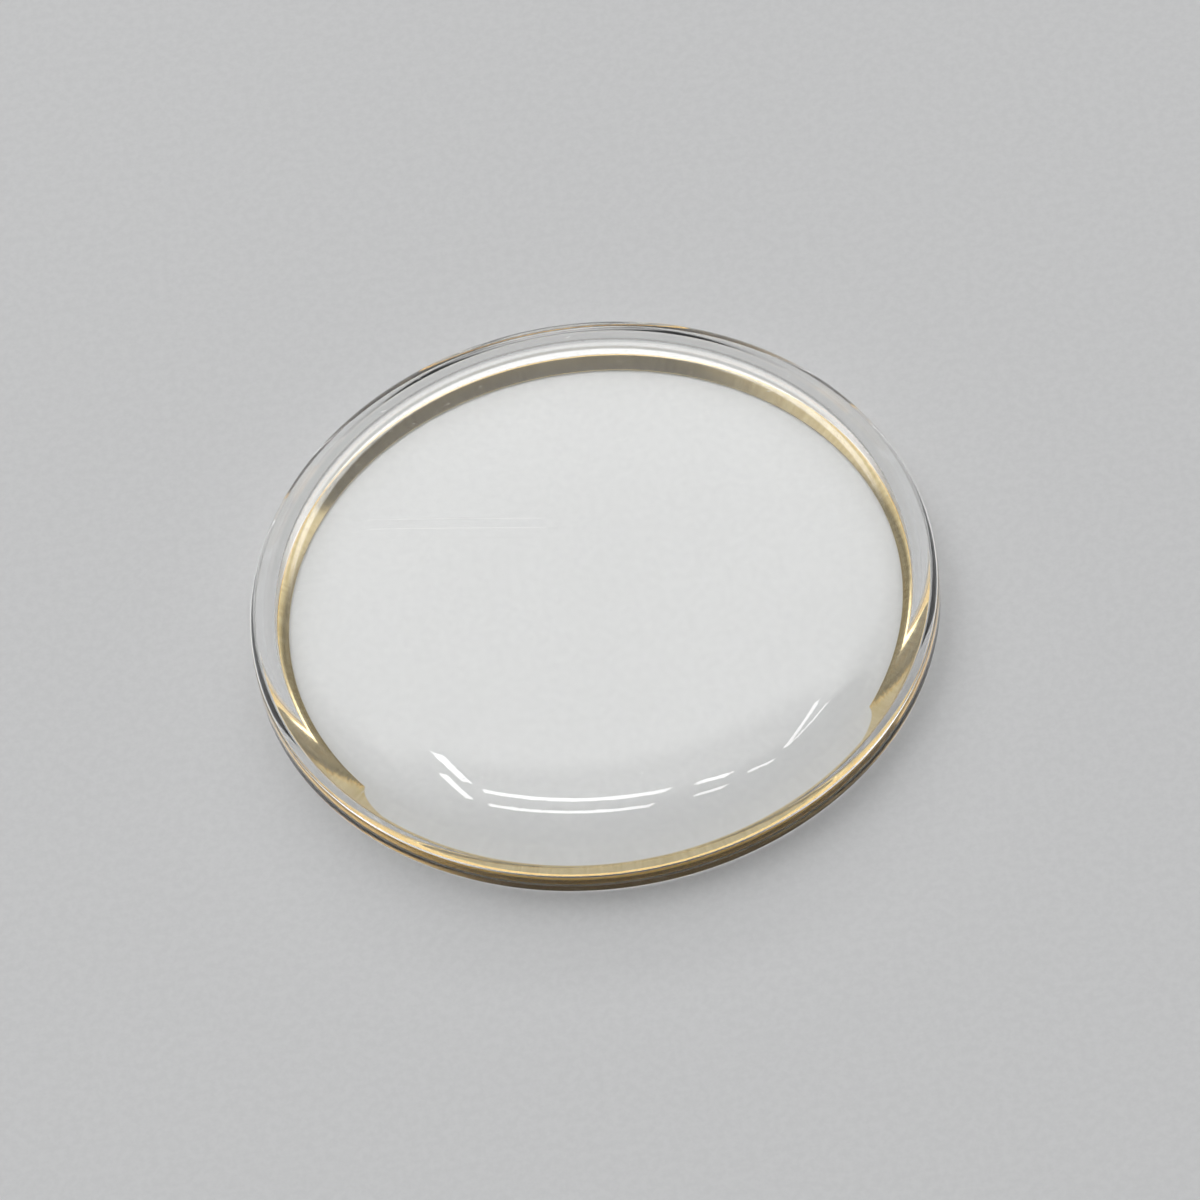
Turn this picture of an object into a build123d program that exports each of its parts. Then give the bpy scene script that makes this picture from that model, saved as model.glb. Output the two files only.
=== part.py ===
from build123d import *
import os
from math import atan, cos, sin, sqrt, tan

# A domed acrylic watch crystal with a metal tension ring pressed into its foot.
# Both pieces are turned about Z. The origin is the centre of the foot circle,
# on the plane that the foot stands on, and the dome rises along +Z.
# Lengths are millimetres. Outlines are points of radius and height.

# Crystal, outside
crystal_diameter = 30.0
foot_bevel = 0.12            # broken outer edge of the foot, both ways
skirt_height = 1.05          # straight outer wall that the bezel grips, from the foot plane
shoulder_rise = 2.75         # height of the rolled shoulder above the skirt
crown_rise = 0.3             # further rise of the flat crown towards the axis
shoulder_share = 0.105       # share of the radius that the rolled shoulder takes up

# Crystal, inside
dome_thickness = 1.15        # the inside follows the outside at this distance
skirt_wall = 0.97            # from the outer wall to the cavity wall
cavity_corner_run = 0.33     # the inside slopes straight down over this last stretch to the wall
cavity_corner_fillet = 0.3

# Seat for the ring, cut up into the foot
seat_step = 0.15             # width of the ledge, outwards from the cavity wall
seat_depth = 0.52
seat_lead_in = 0.05          # bevel at the mouth of the seat

# Tension ring
ring_seat_clearance = 0.02   # radial, between the seat and the ring
ring_ledge_gap = 0.01        # between the top of the ring and the ledge of the seat
ring_recess = 0.03           # the ring stops this far above the foot plane
ring_land = 0.2              # flat top, from the outer edge to the slope
ring_slope_width = 0.57      # level width of the sloping inner face
ring_toe = 0.06              # upright inner edge under the slope
ring_bevel = 0.04            # lead-in bevel on the lower outer edge

crystal_radius = crystal_diameter / 2
cavity_radius = crystal_radius - skirt_wall
seat_radius = cavity_radius + seat_step
dome_power = 1 / shoulder_share
dome_stations = 40           # points that each dome curve is drawn through


def dome_point(share):
    """A point of the outside, at a share of the crystal's radius."""
    rolled = shoulder_rise * sqrt(1 - share ** dome_power)
    crowned = crown_rise * (1 - share ** 2)
    return (crystal_radius * share, skirt_height + rolled + crowned)


def dome_slope(share):
    """How steeply the outside falls there, as an angle in radians."""
    rolled = shoulder_rise * dome_power * share ** (dome_power - 1) / (2 * sqrt(1 - share ** dome_power))
    crowned = 2 * crown_rise * share
    return atan((rolled + crowned) / crystal_radius)


def inside_point(share):
    """The point of the inside that lies square behind a point of the outside."""
    radius, height = dome_point(share)
    angle = dome_slope(share)
    return (radius - dome_thickness * sin(angle), height - dome_thickness * cos(angle))


def inside_end_share():
    """The share of the radius at which the inside leaves the curve for its straight slope."""
    low, high = 0.0, 1.0
    for _ in range(dome_stations):
        middle = (low + high) / 2
        if inside_point(middle)[0] < cavity_radius - cavity_corner_run:
            low = middle
        else:
            high = middle
    return low


def outside_curve():
    stations = [dome_point(1 - (i / dome_stations) ** 2) for i in range(dome_stations + 1)]
    Spline(stations, tangents=[(0, 1), (-1, 0)])


def inside_curve(end_share):
    """From the axis outwards, level at the axis and ending along the straight slope."""
    angle = dome_slope(end_share)
    stations = [inside_point(end_share * i / dome_stations) for i in range(dome_stations + 1)]
    Spline(stations, tangents=[(1, 0), (cos(angle), -sin(angle))])


def crystal_outline():
    end_share = inside_end_share()
    slope_radius, slope_height = inside_point(end_share)
    wall_top = slope_height - tan(dome_slope(end_share)) * (cavity_radius - slope_radius)
    outside_curve()
    Line(dome_point(0), inside_point(0))
    inside_curve(end_share)
    FilletPolyline(
        (slope_radius, slope_height),
        (cavity_radius, wall_top),
        (cavity_radius, seat_depth),
        radius=cavity_corner_fillet,
    )
    Polyline(
        (cavity_radius, seat_depth),
        (seat_radius, seat_depth),
        (seat_radius, seat_lead_in),
        (seat_radius + seat_lead_in, 0),
        (crystal_radius - foot_bevel, 0),
        (crystal_radius, foot_bevel),
        (crystal_radius, skirt_height),
    )


def ring_outline():
    outer = seat_radius - ring_seat_clearance
    top = seat_depth - ring_ledge_gap
    slope_top = outer - ring_land
    toe = slope_top - ring_slope_width
    Polyline(
        (toe, ring_recess),
        (outer - ring_bevel, ring_recess),
        (outer, ring_recess + ring_bevel),
        (outer, top),
        (slope_top, top),
        (toe, ring_recess + ring_toe),
        close=True,
    )


def turned(outline):
    """Revolve a closed outline of radius and height about Z."""
    with BuildPart() as piece:
        with BuildSketch(Plane.XZ):
            with BuildLine():
                outline()
            make_face()
        revolve(axis=Axis.Z)
    return piece.part


pieces = {
    "crystal": turned(crystal_outline),
    "tension_ring": turned(ring_outline),
}

os.makedirs("parts", exist_ok=True)
for name, piece in pieces.items():
    export_step(piece, f"parts/{name}.step")
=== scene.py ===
"""A domed acrylic watch crystal with its metal tension ring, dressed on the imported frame."""

from math import atan, atan2, cos, pi, radians, sin, sqrt, tan

import bmesh
import bpy
from mathutils import Matrix, Vector


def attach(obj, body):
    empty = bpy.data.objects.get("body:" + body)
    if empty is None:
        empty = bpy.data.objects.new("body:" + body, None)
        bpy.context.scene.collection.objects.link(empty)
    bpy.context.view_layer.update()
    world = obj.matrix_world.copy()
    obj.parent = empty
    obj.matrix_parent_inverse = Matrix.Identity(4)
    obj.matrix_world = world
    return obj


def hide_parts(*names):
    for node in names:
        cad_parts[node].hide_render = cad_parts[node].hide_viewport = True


MM = 0.001

# Section, in mm, as in the CAD source
CRYSTAL_RADIUS = 15.0
FOOT_BEVEL = 0.12
SKIRT_HEIGHT = 1.05
SHOULDER_RISE = 2.75
CROWN_RISE = 0.3
DOME_POWER = 1 / 0.105
DOME_THICKNESS = 1.15
CAVITY_RADIUS = CRYSTAL_RADIUS - 0.97
CAVITY_CORNER_RUN = 0.33
CAVITY_CORNER_FILLET = 0.3
SEAT_RADIUS = CAVITY_RADIUS + 0.15
SEAT_DEPTH = 0.52
SEAT_LEAD_IN = 0.05
RING_RADIUS = SEAT_RADIUS - 0.02
RING_TOP = SEAT_DEPTH - 0.01
RING_BOTTOM = 0.03
RING_LAND = 0.2
RING_SLOPE_WIDTH = 0.57
RING_TOE = 0.06
RING_BEVEL = 0.04
EDGE = 0.018                 # the fine rounding that every real edge has
SOFT_EDGE = 1.5 * EDGE       # the ring's polished upper edges

# Mesh
SECTORS = 384                # round the axis
OUTSIDE_STEPS = 110          # along the outside of the dome, from the skirt to the axis
INSIDE_STEPS = 80            # along its inside, from the axis to the cavity's corner
EDGE_STEPS = 4               # along the arc of each fine edge
CORNER_STEPS = 12            # along the arc of the cavity's corner
HALVINGS = 60                # in the search for the end of the inside curve
ON_AXIS = 1e-6               # mm from the axis, under which a point is the axis
SHARP_ANGLE = radians(25)

# Floor
FLOOR_RADII = (80, 400, 800, 1350)       # mm, of the rings of its mesh
FLOOR_SECTORS = 96
FLOOR_DROP = 0.02                        # mm, which keeps the floor clear of the foot
FLOOR_TONES = (0.70, 0.705, 0.71, 1), (0.735, 0.74, 0.745, 1)
GRAINS_PER_MM = 2.6

# Camera, from the fit of the photograph's ellipse
IMAGE_SIDE = 1200
VIEW_ELEVATION = radians(51.3)
VIEW_ROLL = radians(8.95)
RADIUS_PX = 345.1
CENTRE_PX = (596.15, 614.2)
PERSPECTIVE = 0.04           # crystal radius over camera distance
SENSOR_WIDTH = 36
CLIP_START = 0.001

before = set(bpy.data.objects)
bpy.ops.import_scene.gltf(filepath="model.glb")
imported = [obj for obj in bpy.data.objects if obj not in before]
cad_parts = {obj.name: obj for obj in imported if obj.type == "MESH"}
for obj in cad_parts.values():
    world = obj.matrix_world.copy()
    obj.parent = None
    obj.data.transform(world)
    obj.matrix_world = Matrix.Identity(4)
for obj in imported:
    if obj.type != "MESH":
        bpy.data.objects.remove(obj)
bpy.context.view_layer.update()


# Section outlines: points of radius and height in mm

def dome_point(share):
    """A point of the outside, at a share of the crystal's radius."""
    rolled = SHOULDER_RISE * sqrt(max(0.0, 1 - share ** DOME_POWER))
    return (CRYSTAL_RADIUS * share, SKIRT_HEIGHT + rolled + CROWN_RISE * (1 - share ** 2))


def dome_slope(share):
    """How steeply the outside falls there, in radians."""
    rolled = SHOULDER_RISE * DOME_POWER * share ** (DOME_POWER - 1)
    rolled /= 2 * sqrt(1 - share ** DOME_POWER)
    return atan((rolled + 2 * CROWN_RISE * share) / CRYSTAL_RADIUS)


def inside_point(share):
    """The point of the inside that lies square behind a point of the outside."""
    radius, height = dome_point(share)
    angle = dome_slope(share)
    return (radius - DOME_THICKNESS * sin(angle), height - DOME_THICKNESS * cos(angle))


def inside_end_share():
    """The share of the radius at which the inside leaves its curve for the slope to the wall."""
    low, high = 0.0, 1 - 1e-12
    for _ in range(HALVINGS):
        middle = (low + high) / 2
        if inside_point(middle)[0] < CAVITY_RADIUS - CAVITY_CORNER_RUN:
            low = middle
        else:
            high = middle
    return low


def rounded(corners, steps=EDGE_STEPS):
    """An open run of (radius, height, rounding) corners, each turned into a small arc."""
    points = []
    for i, (r, z, size) in enumerate(corners):
        here = Vector((r, z))
        if size == 0 or i in (0, len(corners) - 1):
            points.append((r, z))
            continue
        back = (Vector(corners[i - 1][:2]) - here).normalized()
        ahead = (Vector(corners[i + 1][:2]) - here).normalized()
        half = back.angle(ahead) / 2
        reach = size / tan(half)
        centre = here + (back + ahead).normalized() * (size / sin(half))
        start = (here + back * reach - centre).normalized()
        end = (here + ahead * reach - centre).normalized()
        for step in range(steps + 1):
            points.append(tuple(centre + start.slerp(end, step / steps) * size))
    return points


def crystal_outline():
    """From the top of the skirt over the dome, back under it, down the cavity and round the foot."""
    outside = [dome_point(1 - (i / OUTSIDE_STEPS) ** 2) for i in range(OUTSIDE_STEPS + 1)]
    end = inside_end_share()
    turns = [pi / 2 * i / INSIDE_STEPS for i in range(INSIDE_STEPS + 1)]
    inside = [inside_point(end * sin(turn)) for turn in turns]
    r, z = inside[-1]
    wall_top = z - tan(dome_slope(end)) * (CAVITY_RADIUS - r)
    corner = rounded([
        (r, z, 0),
        (CAVITY_RADIUS, wall_top, CAVITY_CORNER_FILLET),
        (CAVITY_RADIUS, SEAT_DEPTH, 0),
    ], CORNER_STEPS)
    foot = rounded([
        (CAVITY_RADIUS, wall_top, 0),
        (CAVITY_RADIUS, SEAT_DEPTH, EDGE),
        (SEAT_RADIUS, SEAT_DEPTH, EDGE),
        (SEAT_RADIUS, SEAT_LEAD_IN, EDGE),
        (SEAT_RADIUS + SEAT_LEAD_IN, 0, EDGE),
        (CRYSTAL_RADIUS - FOOT_BEVEL, 0, EDGE),
        (CRYSTAL_RADIUS, FOOT_BEVEL, EDGE),
        (CRYSTAL_RADIUS, SKIRT_HEIGHT, 0),
    ])
    return outside + inside + corner[1:-1] + foot[1:-1]


def ring_outline():
    """Round the ring's section, from its upper inner corner."""
    slope_top = RING_RADIUS - RING_LAND
    toe = slope_top - RING_SLOPE_WIDTH
    corners = [
        (toe, RING_BOTTOM, EDGE),
        (RING_RADIUS - RING_BEVEL, RING_BOTTOM, EDGE),
        (RING_RADIUS, RING_BOTTOM + RING_BEVEL, EDGE),
        (RING_RADIUS, RING_TOP, SOFT_EDGE),
        (slope_top, RING_TOP, SOFT_EDGE),
        (toe, RING_BOTTOM + RING_TOE, EDGE),
    ]
    closed = [corners[-1]] + corners + [corners[0]]
    return rounded(closed)[1:-1]


# Meshes

def swept_rows(bm, points, sectors):
    """For each (radius, height) point in mm, its ring of vertices, or one vertex on the axis."""
    turns = [2 * pi * k / sectors for k in range(sectors)]
    rows = []
    for r, z in points:
        if r < ON_AXIS:
            rows.append([bm.verts.new((0, 0, z * MM))] * sectors)
        else:
            rows.append([bm.verts.new((r * MM * cos(a), r * MM * sin(a), z * MM)) for a in turns])
    return rows


def join_rows(bm, here, there):
    """The faces between two neighbouring rings, which are triangles beside the axis."""
    for k in range(len(here)):
        corners = list(dict.fromkeys([here[k], here[k - 1], there[k - 1], there[k]]))
        if len(corners) > 2:
            bm.faces.new(corners)


def mesh_piece(name, bm):
    """An object of its own from a bmesh, smooth all over."""
    bmesh.ops.recalc_face_normals(bm, faces=bm.faces)
    mesh = bpy.data.meshes.new(name)
    bm.to_mesh(mesh)
    bm.free()
    mesh.shade_smooth()
    piece = bpy.data.objects.new(name, mesh)
    bpy.context.scene.collection.objects.link(piece)
    return piece


def turned(name, outline):
    """A closed outline turned about Z."""
    bm = bmesh.new()
    rows = swept_rows(bm, outline, SECTORS)
    for here, there in zip(rows, rows[1:] + rows[:1]):
        join_rows(bm, here, there)
    piece = mesh_piece(name, bm)
    piece.data.set_sharp_from_angle(angle=SHARP_ANGLE)
    return piece


# Materials

class Nodes:
    """Short calls for a material's or the world's node tree."""

    def __init__(self, tree):
        self.tree = tree

    def feed(self, value, socket):
        """Link a socket, or set the number or colour."""
        if isinstance(value, bpy.types.NodeSocket):
            self.tree.links.new(value, socket)
        else:
            socket.default_value = value

    def add(self, kind, inputs=None, **settings):
        node = self.tree.nodes.new("ShaderNode" + kind)
        for key, value in settings.items():
            setattr(node, key, value)
        for key, value in (inputs or {}).items():
            self.feed(value, node.inputs[key])
        return node

    def math(self, operation, *values):
        return self.add("Math", dict(enumerate(values)), operation=operation).outputs[0]

    def chain(self, operation, first, *others):
        for other in others:
            first = self.math(operation, first, other)
        return first

    def product(self, *values):
        return self.chain("MULTIPLY", *values)

    def total(self, *values):
        return self.chain("ADD", *values)

    def rise(self, value, low, high, to_low=0.0, to_high=1.0):
        """Eases from to_low to to_high while the value goes from low to high."""
        return self.add("MapRange", {
            "Value": value, "From Min": low, "From Max": high, "To Min": to_low, "To Max": to_high,
        }, interpolation_type="SMOOTHSTEP").outputs["Result"]

    def fall(self, value, low, high, from_high=1.0):
        return self.rise(value, low, high, from_high, 0.0)

    def blend(self, factor, a, b):
        node = self.add("Mix", data_type="RGBA")
        for place, value in ((0, factor), (6, a), (7, b)):
            self.feed(value, node.inputs[place])
        return node.outputs[2]

    def place(self, turn=0.0, scale=(1, 1, 1)):
        """Object coordinates in mm, turned about Z by some degrees and scaled."""
        return self.add("Mapping", {
            "Vector": self.add("TexCoord").outputs["Object"],
            "Rotation": (0, 0, radians(turn)),
            "Scale": tuple(s / MM for s in scale),
        }).outputs[0]

    def split(self, vector):
        return self.add("SeparateXYZ", {"Vector": vector}).outputs

    def join(self, x, y, z):
        return self.add("CombineXYZ", {"X": x, "Y": y, "Z": z}).outputs[0]

    def level_distance(self, vector):
        """The distance from the Z axis."""
        return self.math("SQRT", self.total(*[self.product(part, part) for part in vector[:2]]))

    def noise(self, vector, scale=1.0, roughness=0.6):
        return self.add("TexNoise", {
            "Vector": vector, "Scale": scale, "Detail": 3.0, "Roughness": roughness,
        }).outputs["Fac"]

    def bump(self, shader, height, strength, distance, invert=False):
        """Gives the shader relief, with the distance in micrometres."""
        relief = self.add("Bump", {
            "Strength": strength, "Distance": distance * MM * MM, "Height": height,
        }, invert=invert)
        self.feed(relief.outputs[0], shader.inputs["Normal"])


def material(name):
    made = bpy.data.materials.new(name)
    made.use_nodes = True
    return made, Nodes(made.node_tree), made.node_tree.nodes["Principled BSDF"]


# Fine scratches: direction in degrees, length and spacing in mm, and half width as a share
# of the spacing
SCRATCHES = [
    (8, 9.0, 0.55, 0.035),
    (63, 3.0, 0.5, 0.05),
    (117, 5.0, 0.6, 0.035),
    (158, 2.0, 0.45, 0.05),
]
SCRATCH_LAYERS = 0.05                # stretch of the pattern up the height
# One longer hairline scratch, in mm, in axes turned by some degrees
HAIRLINE_TURN = 11.6
HAIRLINE_Y = 2.07
HAIRLINE_HALF_WIDTH = (0.008, 0.03)  # full, then none
HAIRLINE_START = (-10.8, -9.6)
HAIRLINE_END = (-4.0, 6.5)
SMUDGES_PER_MM = 0.22
CLEAR_ROUGHNESS = 0.003
SMUDGE_ROUGHNESS = 0.012             # more, in a smudge
SCRATCH_ROUGHNESS = 0.3              # more, in a scratch
SHADOW_SHARE = 0.7                   # of the light that passes the acrylic to the shadow


def scratch_pattern(n):
    """1 in a scratch and 0 outside it."""
    scratches = None
    for turn, length, spacing, reach in SCRATCHES:
        where = n.place(turn, (1 / length, 1 / spacing, SCRATCH_LAYERS))
        cell = n.add("TexVoronoi", {"Vector": where, "Scale": 1.0}, feature="F1")
        line = n.fall(cell.outputs["Distance"], 0.0, reach)
        scratches = line if scratches is None else n.math("MAXIMUM", scratches, line)
    along = n.split(n.place(HAIRLINE_TURN))
    across = n.math("ABSOLUTE", n.math("SUBTRACT", along[1], HAIRLINE_Y))
    ends = n.product(n.rise(along[0], *HAIRLINE_START), n.fall(along[0], *HAIRLINE_END))
    hairline = n.product(n.fall(across, *HAIRLINE_HALF_WIDTH), ends)
    return n.math("MAXIMUM", scratches, hairline)


def acrylic_material():
    made, n, shader = material("clear_acrylic")
    shader.inputs["Base Color"].default_value = (0.985, 0.988, 0.98, 1)
    shader.inputs["IOR"].default_value = 1.49
    shader.inputs["Transmission Weight"].default_value = 1.0
    scratches = scratch_pattern(n)
    smudges = n.rise(n.noise(n.place(), SMUDGES_PER_MM), 0.5, 0.75)
    rough = n.math("MULTIPLY_ADD", smudges, SMUDGE_ROUGHNESS, CLEAR_ROUGHNESS)
    rough = n.math("MULTIPLY_ADD", scratches, SCRATCH_ROUGHNESS, rough)
    n.feed(rough, shader.inputs["Roughness"])
    n.bump(shader, scratches, strength=0.4, distance=6, invert=True)
    clear = n.add("BsdfTransparent", {"Color": (SHADOW_SHARE, SHADOW_SHARE, SHADOW_SHARE, 1)})
    passing = n.add("LightPath").outputs["Is Shadow Ray"]
    both = n.add("MixShader", {0: passing, 1: shader.outputs[0], 2: clear.outputs[0]})
    n.feed(both.outputs[0], n.tree.nodes["Material Output"].inputs["Surface"])
    return made


# The ring's colours, and its patterns' steps for each mm or radian
SLOPE_TONES = (0.76, 0.60, 0.31, 1), (0.87, 0.72, 0.42, 1)
LAND_COLOUR = (0.66, 0.47, 0.20, 1)
# The outer wall keeps the ring's gold, made deeper and more orange than the slope; that deepening is
# painted shade for the dark floor the wall mirrors
WALL_TONES_WITH_PAINTED_SHADE = (0.80, 0.46, 0.09, 1), (0.97, 0.63, 0.15, 1)
LINES_ACROSS = 26.0
LINES_ROUND = 3.0
STREAKS_ROUND = 75.0
STREAKS_ACROSS = 0.5
POLISHED_ROUGHNESS = 0.04
LINE_ROUGHNESS = 0.06                # more, in the turned lines
STREAK_ROUGHNESS = 0.08              # more, in the brushed streaks


def ring_material():
    made, n, shader = material("pale_gold")
    shader.inputs["Metallic"].default_value = 1.0
    here = n.split(n.place())
    angle = n.math("ARCTAN2", here[1], here[0])
    radius = n.level_distance(here)
    lines = n.noise(n.join(
        n.product(radius, LINES_ACROSS),
        n.product(here[2], LINES_ACROSS),
        n.product(angle, LINES_ROUND),
    ))
    streaks = n.noise(n.join(
        n.product(angle, STREAKS_ROUND),
        n.product(radius, STREAKS_ACROSS),
        here[2],
    ))
    colour = n.blend(n.rise(streaks, 0.3, 0.7), *SLOPE_TONES)
    slope_top = RING_RADIUS - RING_LAND
    colour = n.blend(n.rise(radius, slope_top - 0.02, slope_top + 0.02), colour, LAND_COLOUR)
    # Painted shade: the outer wall takes the deeper, more orange tones in place of the dark floor it
    # mirrors
    wall_colour_with_painted_shade = n.blend(n.rise(lines, 0.35, 0.65), *WALL_TONES_WITH_PAINTED_SHADE)
    colour = n.blend(n.rise(radius, RING_RADIUS - 0.03, RING_RADIUS - 0.01), colour, wall_colour_with_painted_shade)
    n.feed(colour, shader.inputs["Base Color"])
    rough = n.math("MULTIPLY_ADD", lines, LINE_ROUGHNESS, POLISHED_ROUGHNESS)
    rough = n.math("MULTIPLY_ADD", streaks, STREAK_ROUGHNESS, rough)
    n.feed(rough, shader.inputs["Roughness"])
    n.bump(shader, n.math("MULTIPLY_ADD", streaks, 0.4, lines), strength=0.3, distance=3)
    return made


# The object

crystal = turned("crystal_clear", crystal_outline())
crystal.data.materials.append(acrylic_material())
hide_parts("crystal")
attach(crystal, "crystal")

ring = turned("tension_ring_polished", ring_outline())
ring.data.materials.append(ring_material())
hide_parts("tension_ring")
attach(ring, "ring")


# Floor: a plain pale disc that reaches far out of the frame

def floor_piece():
    bm = bmesh.new()
    rows = swept_rows(bm, [(r, -FLOOR_DROP) for r in (0, *FLOOR_RADII)], FLOOR_SECTORS)
    for here, there in zip(rows, rows[1:]):
        join_rows(bm, here, there)
    piece = mesh_piece("floor", bm)
    made, n, shader = material("floor_paper")
    grain = n.rise(n.noise(n.place(), GRAINS_PER_MM, 0.65), 0.3, 0.7)
    n.feed(n.blend(grain, *FLOOR_TONES), shader.inputs["Base Color"])
    shader.inputs["Roughness"].default_value = 0.9
    shader.inputs["Specular IOR Level"].default_value = 0.1
    piece.data.materials.append(made)
    return piece


floor_piece()


# Light: a soft tent, bright behind and at the sides above the horizon, dark on the camera's side.
# Heights are sines of the elevation, from 0 at the horizon to 1 overhead. Backward is the cosine
# of the level angle from straight behind the object. A pair is where something starts and ends.
LEFT_WALL = (-0.75, 0.35)            # backward, where the left wall comes in
RIGHT_WALL = (-0.71, -0.65)          # the same for the right wall
RIGHT_LEAN = -1.26                   # its edge leans back by this much for each unit of height
MIDDLE = (-0.02, 0.02)               # where the left wall gives way to the right one
WALL_FOOT = (0.40, 0.56)
WALL_TOP = (0.86, 0.93)
WALL_LIGHT = 0.8
BACK_WALL, BACK_HEIGHT = (0.3, 0.8), (0.55, 0.75)
BACK_LIGHT = 0.9                     # more, high up on the wall behind
CEILING_HEIGHT = (0.84, 0.96)
CEILING_BACK = (-0.1, 0.2)           # its light grows from front to back
CEILING_FRONT_LIGHT = 0.05
NEAR_FLOOR, NEAR_FLOOR_LIGHT = (0.04, 0.2), 0.25
LOW_WALL, LOW_WALL_LIGHT = (0.3, 0.5), 0.12
LINE_FOOT, LINE_TOP, LINE_BACK = (0.37, 0.42), (0.47, 0.51), (0.75, 0.9)
LINE_LIGHT = 6.0                     # a bright line low behind
LEAST_LIGHT = 0.04
SEEN_LIGHT = 0.47                    # the backdrop's plain tone for the camera


def tent():
    world = bpy.data.worlds.new("tent")
    bpy.context.scene.world = world
    world.use_nodes = True
    n = Nodes(world.node_tree)
    way = n.split(n.add("TexCoord").outputs["Generated"])
    height = way[2]
    backward = n.math("DIVIDE", way[1], n.math("MAXIMUM", n.level_distance(way), 0.001))
    left = n.rise(backward, *LEFT_WALL)
    right = n.rise(n.math("MULTIPLY_ADD", height, RIGHT_LEAN, backward), *RIGHT_WALL)
    on_right = n.rise(way[0], *MIDDLE)
    sides = n.total(n.product(on_right, right), n.product(n.math("SUBTRACT", 1.0, on_right), left))
    wall = n.product(sides, n.rise(height, *WALL_FOOT), n.fall(height, *WALL_TOP))
    back_high = n.product(n.rise(backward, *BACK_WALL), n.rise(height, *BACK_HEIGHT))
    bright = n.product(wall, n.math("MULTIPLY_ADD", back_high, BACK_LIGHT, WALL_LIGHT))
    ceiling = n.product(
        n.rise(height, *CEILING_HEIGHT), n.rise(way[1], *CEILING_BACK, CEILING_FRONT_LIGHT))
    near_floor = n.fall(height, *NEAR_FLOOR, NEAR_FLOOR_LIGHT)
    low_wall = n.fall(height, *LOW_WALL, LOW_WALL_LIGHT)
    line = n.product(
        n.rise(height, *LINE_FOOT), n.fall(height, *LINE_TOP), n.rise(backward, *LINE_BACK), LINE_LIGHT)
    light = n.total(bright, ceiling, near_floor, low_wall, line, LEAST_LIGHT)
    seen = n.add("LightPath").outputs["Is Camera Ray"]
    unseen = n.math("SUBTRACT", 1.0, seen)
    background = world.node_tree.nodes["Background"]
    background.inputs["Color"].default_value = (1, 1, 1, 1)
    n.feed(n.total(n.product(unseen, light), n.product(seen, SEEN_LIGHT)), background.inputs["Strength"])


tent()


# Narrow lamps overhead, in mm: start and end seen from above, and width
STRIPS = [
    (-135, 75, 45, 10, 24),
    (80, 0, 130, -28, 20),
    (182, -77, 241, -91, 20),
    (-178, -33, 35, -100, 28),
    (100, -113, 158, -136, 24),
    (235, -30, 207, 132, 12),
    (240, -30, 266, 88, 9),
    (-115, 219, -137, 113, 12),
    (-159, 130, -196, -6, 12),
]
STRIP_HEIGHT = 503           # mm
STRIP_RADIANCE = 12.0


def strip(number, x0, y0, x1, y1, width):
    """One narrow lamp, which shows only in the polished surfaces."""
    start, end = Vector((x0, y0, STRIP_HEIGHT)) * MM, Vector((x1, y1, STRIP_HEIGHT)) * MM
    lamp = bpy.data.lights.new(f"strip_{number}", "AREA")
    lamp.shape = "RECTANGLE"
    lamp.size, lamp.size_y = (end - start).length, width * MM
    lamp.energy = STRIP_RADIANCE * pi * lamp.size * lamp.size_y
    piece = bpy.data.objects.new(lamp.name, lamp)
    turn = atan2(y1 - y0, x1 - x0)
    piece.matrix_world = Matrix.Translation((start + end) / 2) @ Matrix.Rotation(turn, 4, "Z")
    piece.visible_camera = False
    piece.visible_diffuse = False
    piece.visible_transmission = False
    bpy.context.scene.collection.objects.link(piece)


for number, ends in enumerate(STRIPS):
    strip(number, *ends)


SOFTBOX_PLACE = Vector((-0.28, 0.3, 0.6))
SOFTBOX_SIDE = 0.45          # m
SOFTBOX_POWER = 1.2          # W


def softbox():
    """A wide soft lamp behind on the left. It lights the floor and shows in no polished surface."""
    lamp = bpy.data.lights.new("softbox", "AREA")
    lamp.shape = "SQUARE"
    lamp.size = SOFTBOX_SIDE
    lamp.energy = SOFTBOX_POWER
    piece = bpy.data.objects.new("softbox", lamp)
    aimed = SOFTBOX_PLACE.to_track_quat("Z", "Y").to_matrix().to_4x4()
    piece.matrix_world = Matrix.Translation(SOFTBOX_PLACE) @ aimed
    piece.visible_camera = False
    piece.visible_glossy = False
    piece.visible_transmission = False
    bpy.context.scene.collection.objects.link(piece)


softbox()


# Camera

def camera():
    distance = CRYSTAL_RADIUS * MM / PERSPECTIVE
    away = Vector((0, -cos(VIEW_ELEVATION), sin(VIEW_ELEVATION)))
    level, up = Vector((1, 0, 0)), Vector((0, sin(VIEW_ELEVATION), cos(VIEW_ELEVATION)))
    across = cos(VIEW_ROLL) * level - sin(VIEW_ROLL) * up
    upright = sin(VIEW_ROLL) * level + cos(VIEW_ROLL) * up
    per_px = CRYSTAL_RADIUS * MM / RADIUS_PX
    right_by, up_by = IMAGE_SIDE / 2 - CENTRE_PX[0], CENTRE_PX[1] - IMAGE_SIDE / 2
    offset = (across * right_by + upright * up_by) * per_px
    data = bpy.data.cameras.new("camera")
    data.sensor_width = SENSOR_WIDTH
    data.lens = SENSOR_WIDTH * RADIUS_PX / PERSPECTIVE / IMAGE_SIDE
    data.clip_start = CLIP_START
    piece = bpy.data.objects.new("camera", data)
    turn = Matrix((across, upright, away)).transposed().to_4x4()
    piece.matrix_world = Matrix.Translation(away * distance + offset) @ turn
    bpy.context.scene.collection.objects.link(piece)
    bpy.context.scene.camera = piece


camera()
bpy.context.scene.view_settings.view_transform = "Standard"
